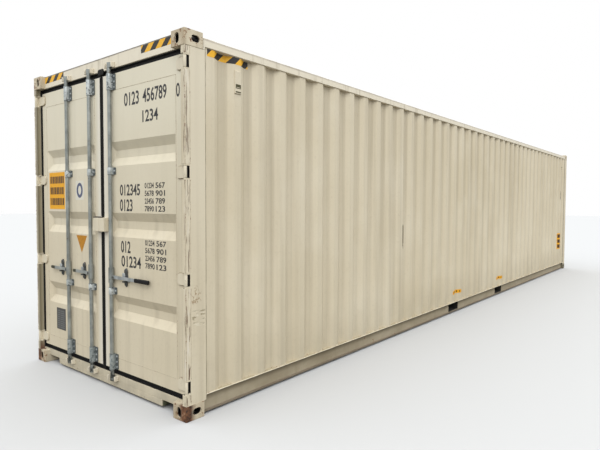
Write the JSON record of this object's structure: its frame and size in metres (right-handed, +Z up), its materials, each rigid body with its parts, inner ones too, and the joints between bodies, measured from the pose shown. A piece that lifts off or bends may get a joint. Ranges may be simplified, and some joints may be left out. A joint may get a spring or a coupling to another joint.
{
  "type": "shipping container",
  "caption": "High-cube steel freight container with corrugated walls, hinged cargo doors, turning lock rods, lifting handles, fork pockets and hollow corner castings.",
  "frame": {"origin": "middle of the base, on the level of the lower corner castings' feet", "axes": "+X along the length from the door end to the blank end, +Y to the left as seen facing the doors, +Z up"},
  "size_m": [12.192, 2.438, 2.896],
  "materials": {
    "beige_paint": "semi-gloss beige paint on steel",
    "casting_paint": "beige paint on cast steel, worn and rusty at the edges",
    "zinc": "dull galvanised steel",
    "seal_rubber": "black door seal rubber",
    "grip_rubber": "black grip rubber",
    "floor_wood": "varnished plywood",
    "underframe_paint": "dark bituminous underframe coating"
  },
  "bodies": {
    "box": {"bottom_corner_castings": "casting_paint", "bottom_side_rails": "beige_paint", "cam_keepers": "beige_paint", "cross_members": "underframe_paint", "door_header": "beige_paint", "door_sill": "beige_paint", "floor_boards": "floor_wood", "forklift_pockets": "underframe_paint", "front_bottom_rail": "beige_paint", "front_posts": "beige_paint", "front_top_rail": "beige_paint", "front_wall": "beige_paint", "gooseneck_tunnel": "underframe_paint", "hinge_lugs": "beige_paint", "hinge_pins": "zinc", "left_side_wall": "beige_paint", "pocket_rail_sections": "beige_paint", "rear_posts": "beige_paint", "right_side_wall": "beige_paint", "roof_corner_plates": "beige_paint", "roof_panel": "beige_paint", "top_corner_castings": "casting_paint", "top_side_rails": "beige_paint", "vents": "beige_paint"},
    "left_door": {"left_door_frame": "beige_paint", "left_door_gasket": "seal_rubber", "left_door_panel": "beige_paint", "left_handle_retainers": "zinc", "left_hinge_blades": "beige_paint", "left_lock_box": "beige_paint", "left_rod_guides": "zinc"},
    "right_door": {"right_door_frame": "beige_paint", "right_door_gasket": "seal_rubber", "right_door_panel": "beige_paint", "right_handle_retainer": "zinc", "right_hinge_blades": "beige_paint", "right_lock_box": "beige_paint", "right_rod_guides": "zinc"},
    "left_outer_rod": {"left_outer_rod": "zinc"},
    "left_inner_rod": {"left_inner_rod": "zinc"},
    "right_rod": {"right_rod": "zinc"},
    "left_outer_handle": {"left_outer_handle": "zinc"},
    "left_inner_handle": {"left_inner_handle": "zinc"},
    "right_handle": {"handle_grip": "grip_rubber", "right_handle": "zinc"}
  },
  "joints": [
    {"name": "left_door_hinge", "type": "hinge", "parent": "box", "child": "left_door", "pos_m": [-6.08, 1.203, 1.459], "axis": [0, 0, -1], "range_deg": [0, 267]},
    {"name": "right_door_hinge", "type": "hinge", "parent": "box", "child": "right_door", "pos_m": [-6.08, -1.203, 1.459], "axis": [0, 0, 1], "range_deg": [0, 267]},
    {"name": "left_outer_rod_turn", "type": "hinge", "parent": "left_door", "child": "left_outer_rod", "pos_m": [-6.073, 0.585, 1.45], "axis": [0, 0, -1], "range_deg": [-110, 0]},
    {"name": "left_inner_rod_turn", "type": "hinge", "parent": "left_door", "child": "left_inner_rod", "pos_m": [-6.073, 0.169, 1.45], "axis": [0, 0, -1], "range_deg": [-110, 0]},
    {"name": "right_rod_turn", "type": "hinge", "parent": "right_door", "child": "right_rod", "pos_m": [-6.073, -0.171, 1.45], "axis": [0, 0, 1], "range_deg": [-110, 0]},
    {"name": "left_outer_handle_lift", "type": "hinge", "parent": "left_outer_rod", "child": "left_outer_handle", "pos_m": [-6.073, 0.623, 0.992], "axis": [-1, 0, 0], "range_deg": [-12, 0]},
    {"name": "left_inner_handle_lift", "type": "hinge", "parent": "left_inner_rod", "child": "left_inner_handle", "pos_m": [-6.073, 0.207, 0.992], "axis": [-1, 0, 0], "range_deg": [-12, 0]},
    {"name": "right_handle_lift", "type": "hinge", "parent": "right_rod", "child": "right_handle", "pos_m": [-6.073, -0.209, 0.992], "axis": [1, 0, 0], "range_deg": [-12, 0]}
  ]
}
